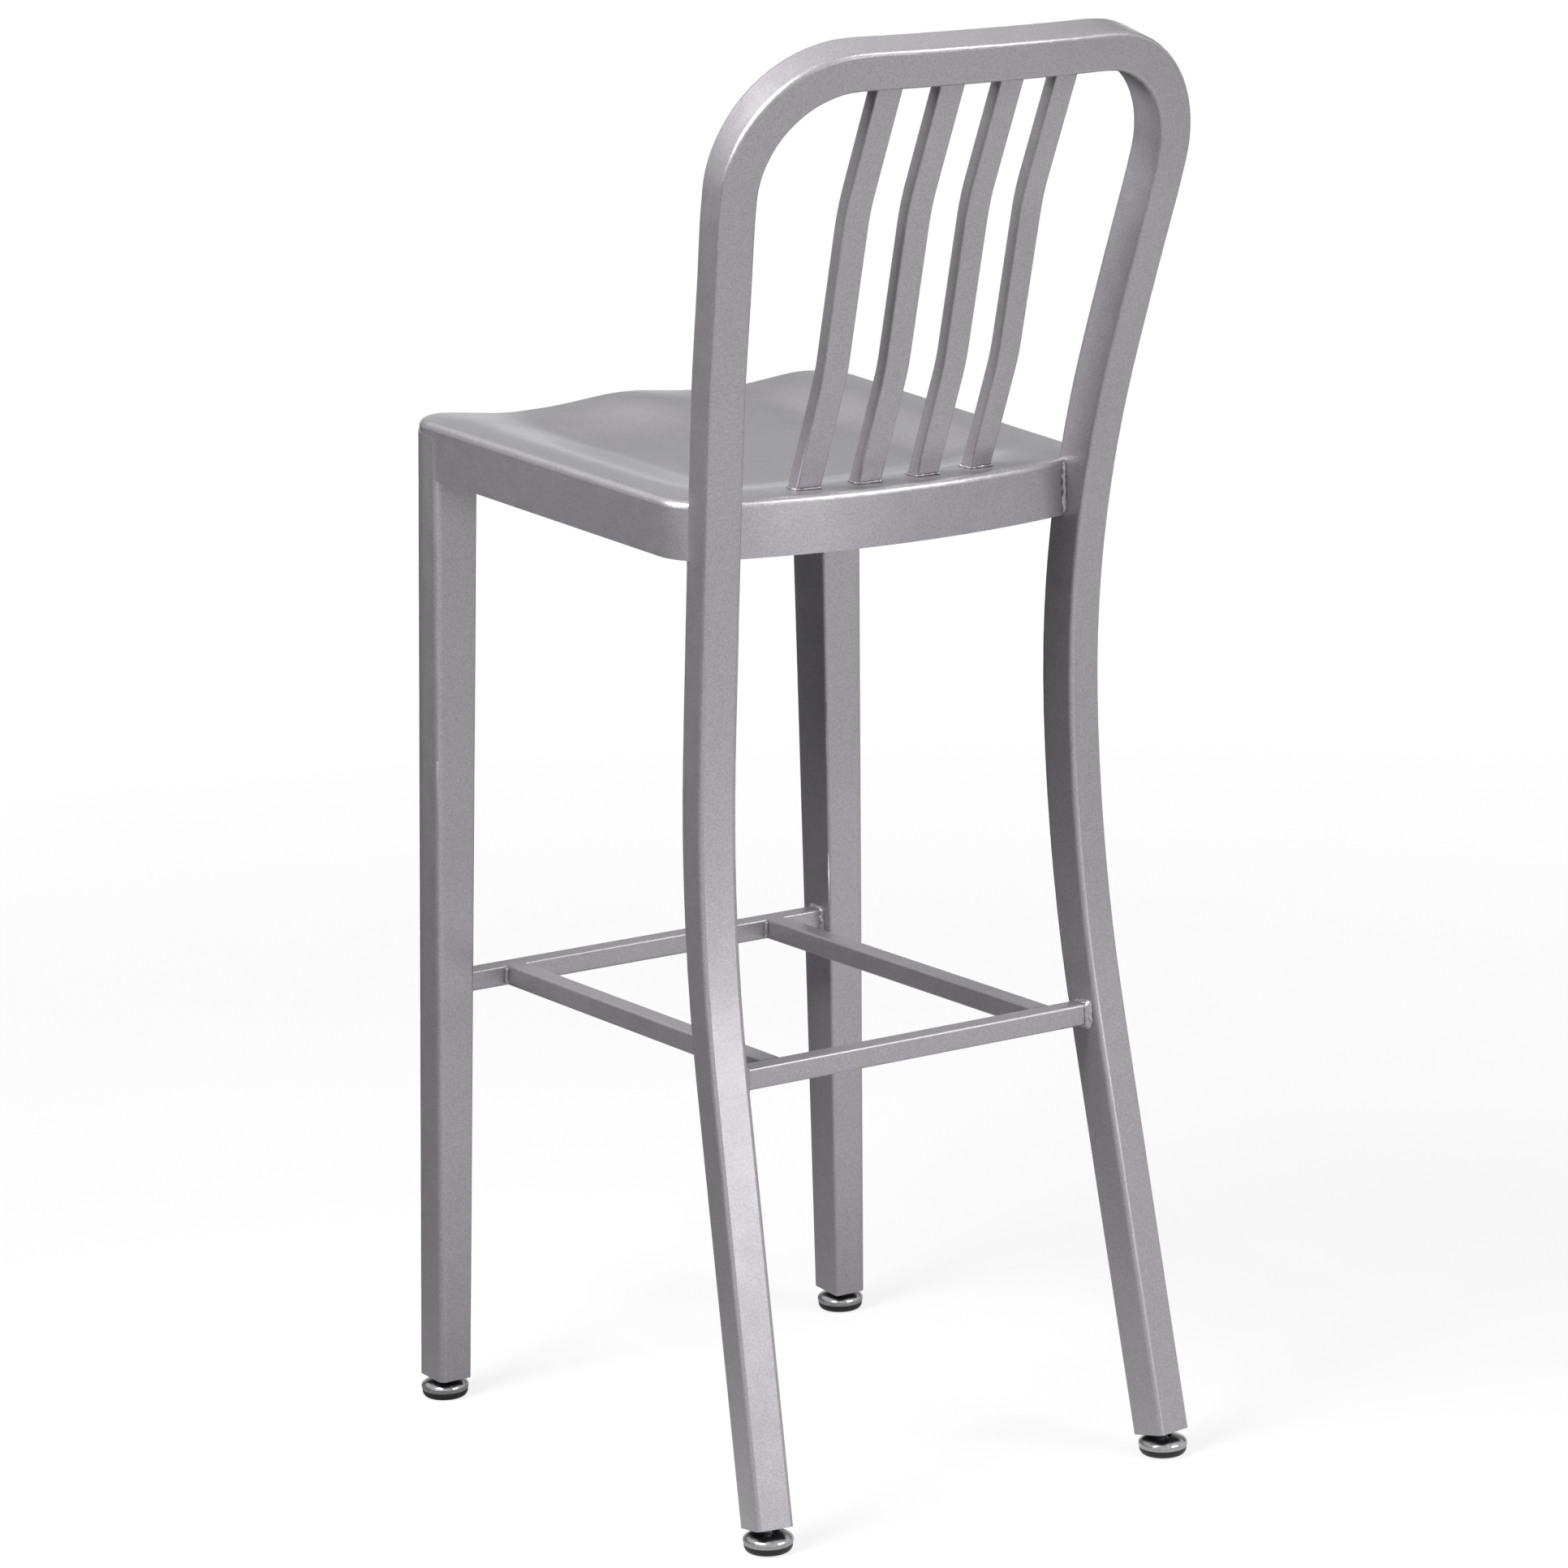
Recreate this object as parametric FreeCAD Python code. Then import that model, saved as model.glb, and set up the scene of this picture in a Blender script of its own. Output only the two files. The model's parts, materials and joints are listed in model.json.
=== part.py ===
import FreeCAD, Part
import math
import os

# Slat-back bar stool, all sizes in mm. +Z is up, the sitter faces -Y, the back is at +Y, left is +X.
# The finished set is moved at the end so that the origin is the bottom centre of its bounding box.

# Back frame: one bent square tube that makes both rear legs and the arched top rail
TUBE_WIDTH = 29.0
TUBE_DEPTH = 31.5
TUBE_CORNER = 3.5
TUBE_WALL = 2.0
FOOT_HALF_SPAN = 175.0
LEG_LEAN_IN_DEG = 1.88
FLARE_START_Z = 565.0
FLARE_RADIUS = 1830.0
FLARE_OUT_DEG = 5.6
ARCH_RADIUS = 80.0
RAIL_Z = 1051.0
SIDE_BEND_Z = 530.0
SIDE_BEND_Y = 128.2
SIDE_BEND_RADIUS = 1060.0
REAR_LEG_RAKE_DEG = 11.0
BACK_RECLINE_DEG = 17.7
BOW_RADIUS = 600.0
BOW_END_DEG = 8.0
PATH_STEP = 50.0
ARCH_STEP = 14.0

# Back slats
SLAT_WIDTH = 20.0
SLAT_THICK = 12.0
SLAT_WALL = 1.6
SLAT_CORNER = 1.8
SLAT_INNER_X = 24.9
SLAT_OUTER_X = 73.9
SLAT_SETBACK = 24.4
SLAT_LOW_BEND_Z = 830.0
SLAT_HIGH_BEND_Z = 947.0
SLAT_LOW_LEAN_DEG = 24.3
SLAT_MID_LEAN_DEG = 15.6
SLAT_TOP_LEAN_DEG = 26.1
SLAT_BEND_RADIUS = 160.0
SLAT_SUNK = 12.0

# Seat pan: pressed sheet with a skirt
SEAT_REAR_Y = 144.0
SEAT_FRONT_Y = -252.0
SEAT_FRONT_HALF = 191.2
SEAT_SIDE_DEG = 1.8
SEAT_FRONT_CORNER = 34.0
SEAT_REAR_CORNER = 35.0
SEAT_REAR_Z = 743.2
SEAT_TILT_DEG = 3.65
SKIRT_HEIGHT = 41.5
SHEET = 2.0
SEAT_EDGE_ROUND = 5.0
LEDGE_WIDTH = 22.0
REAR_LEDGE_WIDTH = 30.0
DISH_RUN = 75.0
DISH_DEPTH = 13.0
THIGH_DIP = 6.0
POMMEL_HALF_WIDTH = 48.0
POMMEL_LENGTH = 150.0
FRONT_CORNER_DROP = 1.5
FRONT_DROP_REACH = 45.0
FRONT_DROP_RUN = 60.0
DISH_POINTS = 33
DISH_MARGIN = 30.0

# Front legs: tapered tubes whose tops form the front corners of the seat
LEG_FOOT_OUT_X = 197.3
LEG_FOOT_REAR_Y = -237.0
LEG_FOOT_WIDTH = 27.5
LEG_FOOT_DEPTH = 34.0
LEG_TOP_WIDTH = 37.5
LEG_TOP_DEPTH = 48.5
LEG_WALL = 2.0
LEG_REAR_ROUND = 5.0
LEG_INNER_ROUND = 2.6
LEG_FOOT_FRONT_ROUND = 6.0
LEG_FLAT_LEFT = 0.1
LEG_TOP_DROP = 9.5

# Stretchers: a ring of four square tubes, the footrest
BAR_SIZE = 16.0
BAR_CORNER = 2.0
BAR_WALL = 1.5
BAR_Z = 330.0
SIDE_BAR_X = 118.5

# Weld beads
WELD_LEG = 3.0
WELD_TOE = 0.4
WELD_SINK = 1.5
SLAT_WELD_LEG = 1.4
SEAT_WELD_RADIUS = 2.6
WELD_CLEARANCE = 0.08
SIDE_SEAM_WIDTH = 9.0
SIDE_SEAM_BACK = 8.1
FRONT_SEAM_WIDTH = 8.0

# Levelling glides
LEG_LIFT = 16.5
BALL_Z = 8.0
BALL_RADIUS = 6.0
BALL_GAP = 0.1
NECK_RADIUS = 3.2
STUD_RADIUS = 4.0
STUD_LENGTH = 46.0
THREAD_GAP = 0.05
SLEEVE_RADIUS = 6.5
SLEEVE_LENGTH = 17.0
PLUG_LENGTH = 24.0
BASE_FOOT_RADIUS = 14.6
BASE_RIM_RADIUS = 17.7
BASE_ROUND_Z = 4.8
BASE_SHOULDER_Z = 5.8
BASE_ROUND_STEPS = 5
BOSS_RADIUS = 9.5
BOSS_TOP_Z = 10.8
CAP_RIM_RADIUS = 18.2
CAP_RIM_LOW_Z = 5.8
CAP_RIM_MID_Z = 7.6
CAP_RIM_HIGH_Z = 8.8
DOME_STEPS = 10
CAP_TOP_Z = 13.4
CAP_HOLE_RADIUS = 6.6

V = FreeCAD.Vector


def rad(deg):
    return deg * math.pi / 180.0


def unit(v):
    out = V(v)
    out.normalize()
    return out


# Rounded four-cornered section in the plane of u and v; corners run (+u,+v), (-u,+v), (-u,-v), (+u,-v)
def section(centre, u, v, half_u, half_v, radii):
    signs = ((1, 1), (-1, 1), (-1, -1), (1, -1))
    limit = 0.98 * min(half_u, half_v)
    ends = []
    for (su, sv), radius in zip(signs, radii):
        r = min(radius, limit)
        mid_u = su * (half_u - r + r * math.sqrt(0.5))
        mid_v = sv * (half_v - r + r * math.sqrt(0.5))
        on_u_side = (su * half_u, sv * (half_v - r))
        on_v_side = (su * (half_u - r), sv * half_v)
        first, last = (on_u_side, on_v_side) if su * sv > 0 else (on_v_side, on_u_side)
        ends.append((first, (mid_u, mid_v), last))

    def place(p):
        return centre + u * p[0] + v * p[1]

    edges = []
    for k in range(4):
        first, mid, last = ends[k]
        edges.append(Part.Arc(place(first), place(mid), place(last)).toShape())
        edges.append(Part.makeLine(place(last), place(ends[(k + 1) % 4][0])))
    return Part.Wire(edges)


def loft(wires, ruled=False):
    return Part.makeLoft(wires, True, ruled)


def largest(shape):
    return max(shape.Solids, key=lambda s: s.Volume)


def touching(shape, point):
    return min(shape.Solids, key=lambda s: s.distToShape(Part.Vertex(point))[0])


# Big half-space block on the side the normal points to
def half_space(point, normal, size=3000.0):
    block = Part.makeBox(size, size, size, V(-size / 2, -size / 2, 0))
    turn = FreeCAD.Rotation(V(0, 0, 1), normal)
    block.Placement = FreeCAD.Placement(point, turn)
    return block


def mirrored(shape):
    return shape.mirror(V(0, 0, 0), V(1, 0, 0))


# Back frame path
def bow(x):
    a = abs(x)
    turn_x = BOW_RADIUS * math.sin(rad(BOW_END_DEG))
    if a < turn_x:
        return BOW_RADIUS - math.sqrt(BOW_RADIUS ** 2 - a * a)
    return BOW_RADIUS * (1 - math.cos(rad(BOW_END_DEG))) + (a - turn_x) * math.tan(rad(BOW_END_DEG))


def bow_slope(x):
    turn_x = BOW_RADIUS * math.sin(rad(BOW_END_DEG))
    a = min(abs(x), turn_x)
    return math.copysign(math.tan(math.asin(a / BOW_RADIUS)), x)


def side_profile(z):
    low = SIDE_BEND_Z - SIDE_BEND_RADIUS * math.sin(rad(REAR_LEG_RAKE_DEG))
    high = SIDE_BEND_Z + SIDE_BEND_RADIUS * math.sin(rad(BACK_RECLINE_DEG))
    inside = min(max(z, low), high)
    sweep = math.sqrt(SIDE_BEND_RADIUS ** 2 - (inside - SIDE_BEND_Z) ** 2)
    y = SIDE_BEND_Y + SIDE_BEND_RADIUS - sweep
    if z < low:
        y += (low - z) * math.tan(rad(REAR_LEG_RAKE_DEG))
    if z > high:
        y += (z - high) * math.tan(rad(BACK_RECLINE_DEG))
    return y


def side_slope(z):
    return (side_profile(z + 0.05) - side_profile(z - 0.05)) / 0.1


# Front view of the left half, as a list of (x, z) from below the foot to the middle of the rail
def half_front_view():
    lean, flare = rad(LEG_LEAN_IN_DEG), rad(FLARE_OUT_DEG)
    pts = []

    def straight(start, direction, length, step):
        n = max(1, int(round(length / step)))
        for k in range(n):
            s = length * k / n
            pts.append((start[0] + direction[0] * s, start[1] + direction[1] * s))
        return (start[0] + direction[0] * length, start[1] + direction[1] * length)

    start = (FOOT_HALF_SPAN, LEG_LIFT)
    rise = FLARE_START_Z - LEG_LIFT
    at = straight(start, (-math.sin(lean), math.cos(lean)), rise / math.cos(lean), PATH_STEP)
    turn = lean + flare
    n = max(3, int(round(FLARE_RADIUS * turn / PATH_STEP)))
    centre = (at[0] + FLARE_RADIUS * math.cos(lean), at[1] + FLARE_RADIUS * math.sin(lean))
    for k in range(n):
        a = math.pi + lean - turn * k / n
        pts.append((centre[0] + FLARE_RADIUS * math.cos(a), centre[1] + FLARE_RADIUS * math.sin(a)))
    a = math.pi + lean - turn
    at = (centre[0] + FLARE_RADIUS * math.cos(a), centre[1] + FLARE_RADIUS * math.sin(a))
    rise = RAIL_Z - ARCH_RADIUS - ARCH_RADIUS * math.sin(flare) - at[1]
    at = straight(at, (math.sin(flare), math.cos(flare)), max(rise, 5.0) / math.cos(flare), PATH_STEP)
    centre = (at[0] - ARCH_RADIUS * math.cos(flare), at[1] + ARCH_RADIUS * math.sin(flare))
    n = max(8, int(round(ARCH_RADIUS * (math.pi / 2 + flare) / ARCH_STEP)))
    for k in range(n):
        a = -flare + (math.pi / 2 + flare) * k / n
        pts.append((centre[0] + ARCH_RADIUS * math.cos(a), centre[1] + ARCH_RADIUS * math.sin(a)))
    straight((centre[0], centre[1] + ARCH_RADIUS), (-1.0, 0.0), centre[0], PATH_STEP * 0.5)
    pts.append((0.0, centre[1] + ARCH_RADIUS))
    return pts


half_path = half_front_view()
whole_path = half_path + [(-x, z) for x, z in reversed(half_path[:-1])]


def on_surface(x, z):
    return V(x, side_profile(z) - bow(x), z)


centre_line = [on_surface(x, z) for x, z in whole_path]


def frame_at(k):
    before = centre_line[max(k - 1, 0)]
    after = centre_line[min(k + 1, len(centre_line) - 1)]
    tangent = unit(after - before)
    x, z = whole_path[k]
    normal = V(bow_slope(x), 1.0, -side_slope(z))
    normal = unit(normal - tangent * normal.dot(tangent))
    across = unit(tangent.cross(normal))
    return tangent, normal, across


def tube_wire(k, inset):
    tangent, normal, across = frame_at(k)
    corner = max(TUBE_CORNER - inset, 0.5)
    half_width = TUBE_WIDTH / 2 - inset
    half_depth = TUBE_DEPTH / 2 - inset
    return section(centre_line[k], across, normal, half_width, half_depth, (corner,) * 4)


def tube_loft(first, last, inset):
    return loft([tube_wire(k, inset) for k in range(first, last + 1)])


last_k = len(centre_line) - 1


# The tube is closed up from its outer skin, its bore and two ring-shaped ends
def hollow_tube():
    skin = tube_loft(0, last_k, 0.0)
    bore = tube_loft(0, last_k, TUBE_WALL)
    faces = []
    rims = []
    for k in (0, last_k):
        rim = Part.Face([tube_wire(k, 0.0), tube_wire(k, TUBE_WALL)], "Part::FaceMakerBullseye")
        rims.append(rim)
    ends = [centre_line[0], centre_line[last_k]]
    for solid in (skin, bore):
        for face in solid.Faces:
            if min((face.CenterOfMass - e).Length for e in ends) > 6.0:
                faces.append(face)
    shell = Part.makeShell(faces + rims)
    shell.sewShape()
    solid = Part.makeSolid(shell)
    if solid.Volume < 0:
        solid.reverse()
    return solid


# Centre and directions of the left tube at a height
def tube_at(z):
    for k in range(len(half_path) - 1):
        p, q = centre_line[k], centre_line[k + 1]
        if p.z <= z <= q.z:
            f = (z - p.z) / (q.z - p.z)
            tangent, normal, across = frame_at(k)
            return p + (q - p) * f, tangent, normal, across
    return None


back_frame = hollow_tube()
rear_foot = V(centre_line[0])
rear_up = frame_at(0)[0]


def nearest_k(z):
    return min(range(len(half_path)), key=lambda k: abs(half_path[k][1] - z))


# Short lengths of the tube used to trim the pieces that meet it
seat_k = nearest_k(SEAT_REAR_Z - SKIRT_HEIGHT / 2)
tube_by_seat = tube_loft(seat_k - 3, seat_k + 3, 0.0)
rail_first = max(k for k in range(len(half_path)) if whole_path[k][0] > SLAT_OUTER_X + SLAT_WIDTH)
tube_rail = tube_loft(rail_first, last_k - rail_first, 0.0)
bar_k = nearest_k(BAR_Z)
# The same lengths a hair fatter: weld beads cut by these lie against the tube and don't bite into it
tube_by_seat_fat = tube_loft(seat_k - 3, seat_k + 3, -WELD_CLEARANCE)
tube_rail_fat = tube_loft(rail_first, last_k - rail_first, -WELD_CLEARANCE)
tube_by_bar_fat = tube_loft(bar_k - 3, bar_k + 3, -WELD_CLEARANCE)
straight_leg = Part.Face(tube_wire(0, 0.0)).extrude(rear_up * (BAR_Z + 80.0))
straight_bore = Part.Face(tube_wire(0, TUBE_WALL)).extrude(rear_up * (PLUG_LENGTH + 10.0))


# Seat plan outline, inset by t; the walls are upright
def seat_outline(t, z):
    s = math.sin(rad(SEAT_SIDE_DEG))
    c = math.cos(rad(SEAT_SIDE_DEG))
    fy = SEAT_FRONT_Y + t
    base = V(SEAT_FRONT_HALF - t / c, SEAT_FRONT_Y, 0)
    along = V(-s, c, 0)
    inward = V(-c, -s, 0)
    rf = max(SEAT_FRONT_CORNER - t, 1.0)
    # front corner centre: rf inside the side line and rf behind the front line
    cy = fy + rf
    cx = base.x - s / c * (cy - base.y) - rf / c
    front_centre = V(cx, cy, 0)
    f1 = V(cx, fy, 0)
    f2 = front_centre - inward * rf
    fm = front_centre + unit(unit(f1 - front_centre) + unit(f2 - front_centre)) * rf
    # rear corner centre: rr inside the side line, and inside the rear arc
    rr = max(SEAT_REAR_CORNER - t, 1.0)
    arc_centre = V(0, SEAT_REAR_Y - BOW_RADIUS, 0)
    ring = BOW_RADIUS - t - rr
    p0 = base + inward * rr
    d = p0 - arc_centre
    b = d.dot(along)
    k = -b + math.sqrt(b * b - (d.dot(d) - ring * ring))
    rear_centre = p0 + along * k
    r1 = rear_centre - inward * rr
    r2 = rear_centre + unit(rear_centre - arc_centre) * rr
    rm = rear_centre + unit(unit(r1 - rear_centre) + unit(r2 - rear_centre)) * rr
    rear_mid = V(0, SEAT_REAR_Y - t, 0)

    def lift(p, side=1):
        return V(side * p.x, p.y, z)

    edges = [Part.makeLine(lift(f1, -1), lift(f1)),
             Part.Arc(lift(f1), lift(fm), lift(f2)).toShape(),
             Part.makeLine(lift(f2), lift(r1)),
             Part.Arc(lift(r1), lift(rm), lift(r2)).toShape(),
             Part.Arc(lift(r2), lift(rear_mid), lift(r2, -1)).toShape(),
             Part.Arc(lift(r2, -1), lift(rm, -1), lift(r1, -1)).toShape(),
             Part.makeLine(lift(r1, -1), lift(f2, -1)),
             Part.Arc(lift(f2, -1), lift(fm, -1), lift(f1, -1)).toShape()]
    return Part.Wire(edges)


def rim_z(y):
    return SEAT_REAR_Z + (SEAT_REAR_Y - y) * math.tan(rad(SEAT_TILT_DEG))


def smooth(t):
    t = min(max(t, 0.0), 1.0)
    return t * t * (3 - 2 * t)


def seat_side_x(y):
    return SEAT_FRONT_HALF - (y - SEAT_FRONT_Y) * math.tan(rad(SEAT_SIDE_DEG))


# Height of the pressed top above the tilted rim plane
def dish(x, y):
    from_side = seat_side_x(y) - abs(x)
    from_rear = SEAT_REAR_Y - (BOW_RADIUS - math.sqrt(BOW_RADIUS ** 2 - x * x)) - y
    hollow = smooth((from_side - LEDGE_WIDTH) / DISH_RUN) * smooth((from_rear - REAR_LEDGE_WIDTH) / DISH_RUN)
    near_front = smooth((SEAT_FRONT_Y + POMMEL_LENGTH - y) / POMMEL_LENGTH)
    thigh = THIGH_DIP / DISH_DEPTH * (1 - math.exp(-(x / POMMEL_HALF_WIDTH) ** 2))
    depth = DISH_DEPTH * hollow * (1 - near_front * (1 - thigh))
    corner = FRONT_CORNER_DROP * smooth((SEAT_FRONT_Y + FRONT_DROP_REACH - y) / FRONT_DROP_RUN)
    return -depth - corner


def dish_tool(drop):
    rows = []
    half = SEAT_FRONT_HALF + DISH_MARGIN
    y0, y1 = SEAT_FRONT_Y - DISH_MARGIN, SEAT_REAR_Y + DISH_MARGIN
    for i in range(DISH_POINTS):
        x = -half + 2 * half * i / (DISH_POINTS - 1)
        row = []
        for j in range(DISH_POINTS):
            y = y0 + (y1 - y0) * j / (DISH_POINTS - 1)
            row.append(V(x, y, rim_z(y) + dish(x, y) - drop))
        rows.append(row)
    surface = Part.BSplineSurface()
    surface.interpolate(rows)
    return surface.toShape().extrude(V(0, 0, 400))


def rim_half_space(offset, up):
    n = V(0, math.sin(rad(SEAT_TILT_DEG)), math.cos(rad(SEAT_TILT_DEG)))
    return half_space(V(0, SEAT_REAR_Y, SEAT_REAR_Z + offset), n if up else n * -1)


def seat_block(t, drop, rounding):
    z0 = SEAT_REAR_Z - 3 * SKIRT_HEIGHT
    tall = 6 * SKIRT_HEIGHT + 60.0
    prism = Part.Face(seat_outline(t, z0)).extrude(V(0, 0, tall))
    block = largest(prism.cut(dish_tool(drop)))
    pressed = [face for face in block.Faces if isinstance(face.Surface, Part.BSplineSurface)]
    top = max(pressed, key=lambda face: face.Area)
    return largest(block.makeFillet(rounding, top.OuterWire.Edges))


seat_filled = largest(seat_block(0.0, 0.0, SEAT_EDGE_ROUND).cut(rim_half_space(-SKIRT_HEIGHT, False)))
seat_hollow = seat_block(SHEET, SHEET, max(SEAT_EDGE_ROUND - SHEET, 0.5))
seat_pan = largest(seat_filled.cut(seat_hollow))
seat_pan = largest(seat_pan.cut(tube_by_seat).cut(mirrored(tube_by_seat)))


# Front legs
leg_top_z = rim_z(SEAT_FRONT_Y)
leg_top_y = SEAT_FRONT_Y + LEG_TOP_DEPTH
leg_top_out = seat_side_x(leg_top_y)
side_turn = rad(SEAT_SIDE_DEG)
leg_u = V(math.cos(side_turn), math.sin(side_turn), 0)
leg_v = V(-math.sin(side_turn), math.cos(side_turn), 0)


def leg_section(f, inset):
    width = LEG_FOOT_WIDTH + (LEG_TOP_WIDTH - LEG_FOOT_WIDTH) * f - 2 * inset
    depth = LEG_FOOT_DEPTH + (LEG_TOP_DEPTH - LEG_FOOT_DEPTH) * f - 2 * inset
    front_round = LEG_FOOT_FRONT_ROUND + (SEAT_FRONT_CORNER - LEG_FOOT_FRONT_ROUND) * f - inset
    x = LEG_FOOT_OUT_X + (leg_top_out - LEG_FOOT_OUT_X) * f
    y = LEG_FOOT_REAR_Y + (leg_top_y - LEG_FOOT_REAR_Y) * f
    z = LEG_LIFT + (leg_top_z - LEG_LIFT) * f
    corner = V(x, y, z)
    centre = corner - leg_u * (width / 2 + inset) - leg_v * (depth / 2 + inset)
    small = max(LEG_INNER_ROUND - inset, 0.4)
    rear = max(LEG_REAR_ROUND - inset, 0.4)
    front = max(front_round, 0.4)
    hu, hv = width / 2, depth / 2
    corners = [(1, 1, rear), (-1, 1, small), (-1, -1, small), (1, -1, front)]
    edges = []
    spots = []
    for su, sv, r in corners:
        r = min(r, min(width, depth) - small - LEG_FLAT_LEFT)
        on_u = (su * hu, sv * (hv - r))
        on_v = (su * (hu - r), sv * hv)
        mid = (su * (hu - r * (1 - math.sqrt(0.5))), sv * (hv - r * (1 - math.sqrt(0.5))))
        spots.append((on_u, mid, on_v) if su * sv > 0 else (on_v, mid, on_u))

    def place(p):
        return centre + leg_u * p[0] + leg_v * p[1]

    for k in range(4):
        first, mid, last = spots[k]
        edges.append(Part.Arc(place(first), place(mid), place(last)).toShape())
        edges.append(Part.makeLine(place(last), place(spots[(k + 1) % 4][0])))
    return Part.Wire(edges), centre


front_foot = leg_section(0.0, 0.0)[1]
front_head = leg_section(1.0, 0.0)[1]
front_up = unit(front_head - front_foot)
leg_outer = loft([leg_section(-0.05, 0.0)[0], leg_section(1.05, 0.0)[0]], True)
leg_inner = loft([leg_section(-0.05, LEG_WALL)[0], leg_section(1.05, LEG_WALL)[0]], True)
leg_outer = leg_outer.cut(half_space(front_foot, front_up * -1)).cut(rim_half_space(-LEG_TOP_DROP, True))
leg_outer = largest(leg_outer)
front_leg = largest(leg_outer.cut(leg_inner))
front_legs = {"left": front_leg, "right": mirrored(front_leg)}
leg_outers = {"left": leg_outer, "right": mirrored(leg_outer)}

# Skirt notched at the front corners, where the legs make the corner
notch_in_x = leg_top_out - LEG_TOP_WIDTH * math.cos(side_turn)
notch_rear_y = leg_top_y - 1.0
notch = Part.makeBox(120, 200, 400, V(notch_in_x, notch_rear_y - 200, SEAT_REAR_Z - 250))
notch = notch.cut(rim_half_space(-LEG_TOP_DROP, True))
seat_pan = largest(seat_pan.cut(notch).cut(mirrored(notch)))
for side in ("left", "right"):
    seat_pan = largest(seat_pan.cut(leg_outers[side]))


# Slats: centre path in a plane of constant x, as ((y, z), lean) at the ends and at each bend's
# start, middle and end
def slat_path(x):
    foot_y = SEAT_REAR_Y - SLAT_SETBACK
    foot_z = rim_z(foot_y)
    leans = (rad(SLAT_LOW_LEAN_DEG), rad(SLAT_MID_LEAN_DEG), rad(SLAT_TOP_LEAN_DEG))
    offset = -(BOW_RADIUS - math.sqrt(BOW_RADIUS ** 2 - x * x))
    bend_1 = (foot_y + (SLAT_LOW_BEND_Z - foot_z) * math.tan(leans[0]) + offset, SLAT_LOW_BEND_Z)
    bend_2 = (bend_1[0] + (SLAT_HIGH_BEND_Z - SLAT_LOW_BEND_Z) * math.tan(leans[1]), SLAT_HIGH_BEND_Z)
    start = (foot_y + offset - SLAT_SUNK * math.tan(leans[0]), foot_z - SLAT_SUNK)
    end = (bend_2[0] + (RAIL_Z - SLAT_HIGH_BEND_Z) * math.tan(leans[2]), RAIL_Z)
    out = [(start, leans[0])]
    for corner, a_in, a_out in ((bend_1, leans[0], leans[1]), (bend_2, leans[1], leans[2])):
        sign = 1.0 if a_out > a_in else -1.0
        reach = SLAT_BEND_RADIUS * math.tan(abs(a_out - a_in) / 2)
        y0 = corner[0] - reach * math.sin(a_in)
        z0 = corner[1] - reach * math.cos(a_in)
        cy = y0 + sign * SLAT_BEND_RADIUS * math.cos(a_in)
        cz = z0 - sign * SLAT_BEND_RADIUS * math.sin(a_in)
        for a in (a_in, (a_in + a_out) / 2, a_out):
            y = cy - sign * SLAT_BEND_RADIUS * math.cos(a)
            z = cz + sign * SLAT_BEND_RADIUS * math.sin(a)
            out.append(((y, z), a))
    out.append((end, leans[2]))
    return out


def slat_bar(x, inset, rounded):
    turn = math.asin(x / BOW_RADIUS)
    across = V(math.cos(turn), -math.sin(turn), 0)
    path = slat_path(x)
    half = SLAT_THICK / 2 - inset
    sides = []
    for d in (half, -half):
        sides.append([V(x, p[0] + d * math.cos(a), p[1] - d * math.sin(a)) for p, a in path])

    def run(p):
        return [Part.makeLine(p[0], p[1]), Part.Arc(p[1], p[2], p[3]).toShape(), Part.makeLine(p[3], p[4]),
                Part.Arc(p[4], p[5], p[6]).toShape(), Part.makeLine(p[6], p[7])]

    edges = run(sides[0]) + [Part.makeLine(sides[0][7], sides[1][7])] + run(sides[1])
    edges.append(Part.makeLine(sides[1][0], sides[0][0]))
    face = Part.Face(Part.Wire(Part.__sortEdges__(edges)))
    width = SLAT_WIDTH - 2 * inset
    face.translate(across * (-width / 2))
    bar = face.extrude(across * width)
    if rounded:
        ends = (sides[0][0] + sides[1][0]) * 0.5, (sides[0][7] + sides[1][7]) * 0.5
        long_edges = []
        for edge in bar.Edges:
            middle = edge.CenterOfMass
            runs_across = abs(unit(edge.tangentAt(edge.FirstParameter)).dot(across)) > 0.9
            at_end = min((middle - e).dot(middle - e) for e in ends) < SLAT_WIDTH ** 2 * 0.4
            if not runs_across and not (at_end and edge.Length < SLAT_THICK * 1.2):
                long_edges.append(edge)
        bar = largest(bar.makeFillet(SLAT_CORNER, long_edges))
    return bar


# The left-hand slats are built, the right-hand ones are their mirror images
seat_ledge = seat_filled.common(Part.makeBox(220, 90, 200, V(-40, SEAT_REAR_Y - 80, SEAT_REAR_Z - 100)))
left_slat_xs = (SLAT_OUTER_X, SLAT_INNER_X)
left_slats = []
for x in left_slat_xs:
    bar = largest(slat_bar(x, 0.0, True).cut(seat_ledge).cut(tube_rail))
    left_slats.append(largest(bar.cut(slat_bar(x, SLAT_WALL, False))))
slats = left_slats + [mirrored(s) for s in reversed(left_slats)]


# Stretchers
def square_bar(start, axis, length, up=V(0, 0, 1), size=None, corner=None):
    size = BAR_SIZE if size is None else size
    corner = BAR_CORNER if corner is None else corner
    across = unit(up.cross(axis))
    wire = section(start, across, up, size / 2, size / 2, (corner,) * 4)
    return Part.Face(wire).extrude(axis * length)


def leg_centre_y(z):
    f = (z - LEG_LIFT) / (leg_top_z - LEG_LIFT)
    wire, centre = leg_section(f, 0.0)
    return centre.y


front_bar_y = leg_centre_y(BAR_Z)
rear_bar_y = tube_at(BAR_Z)[0].y
bar_inner = BAR_SIZE - 2 * BAR_WALL
inner_corner = max(BAR_CORNER - BAR_WALL, 0.3)
reach = LEG_FOOT_OUT_X


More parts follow.
